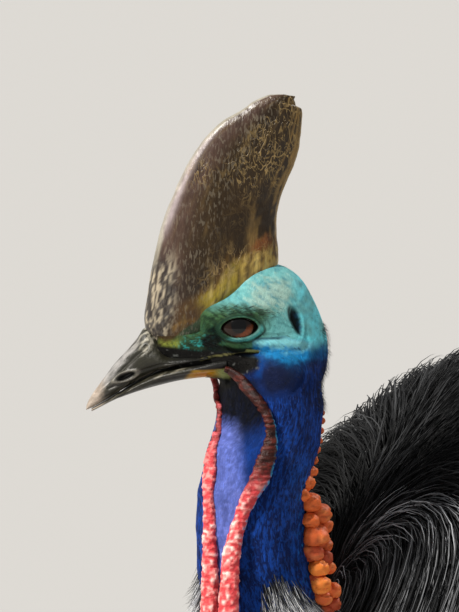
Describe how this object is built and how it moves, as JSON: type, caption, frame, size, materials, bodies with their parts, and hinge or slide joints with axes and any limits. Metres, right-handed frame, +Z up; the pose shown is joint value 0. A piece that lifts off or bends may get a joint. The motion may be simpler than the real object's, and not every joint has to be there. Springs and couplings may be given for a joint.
{
  "type": "life-size southern cassowary",
  "caption": "Standing flightless bird with a tall horn casque, bare blue neck with red wattles, drooping black plumage and dagger claws.",
  "frame": {"origin": "centre of the bird's box at floor level", "axes": "+Z up, the body faces -Y and +X is the bird's left; the head is turned to the bird's right"},
  "size_m": [0.4912, 0.8498, 1.149],
  "materials": {
    "head_skin": "bare turquoise to blue facial skin, soft and wrinkled",
    "neck_skin": "deep blue pleated bare skin",
    "casque_horn": "dark purplish brown horn, worn and streaked, half gloss",
    "bill_horn": "dark grey-brown horn with pale worn ridges",
    "eye_gloss": "wet orange-brown iris with a black pupil",
    "wattle_skin": "crimson wrinkled skin, slightly moist",
    "caruncle_skin": "orange to pink-red lumpy skin",
    "plumage": "glossy black hair-like plumes",
    "quill_horn": "bare black horny quills",
    "leg_scale": "grey-brown overlapping scutes",
    "claw_horn": "dark horn"
  },
  "bodies": {
    "root": {"head": "head_skin", "casque": "casque_horn", "bill_upper": "bill_horn", "bill_lower": "bill_horn", "eye_left": "eye_gloss", "eye_right": "eye_gloss", "neck": "neck_skin", "wattle_left": "wattle_skin", "wattle_right": "wattle_skin", "nape_caruncles": "caruncle_skin", "torso": "plumage", "tail": "plumage", "wing_left": "quill_horn", "wing_right": "quill_horn", "thigh_left": "plumage", "thigh_right": "plumage", "shank_left": "leg_scale", "shank_right": "leg_scale", "tarsus_left": "leg_scale", "tarsus_right": "leg_scale", "toe_inner_left": "leg_scale", "toe_middle_left": "leg_scale", "toe_outer_left": "leg_scale", "toe_inner_right": "leg_scale", "toe_middle_right": "leg_scale", "toe_outer_right": "leg_scale", "claw_inner_left": "claw_horn", "claw_middle_left": "claw_horn", "claw_outer_left": "claw_horn", "claw_inner_right": "claw_horn", "claw_middle_right": "claw_horn", "claw_outer_right": "claw_horn"}
  },
  "joints": []
}
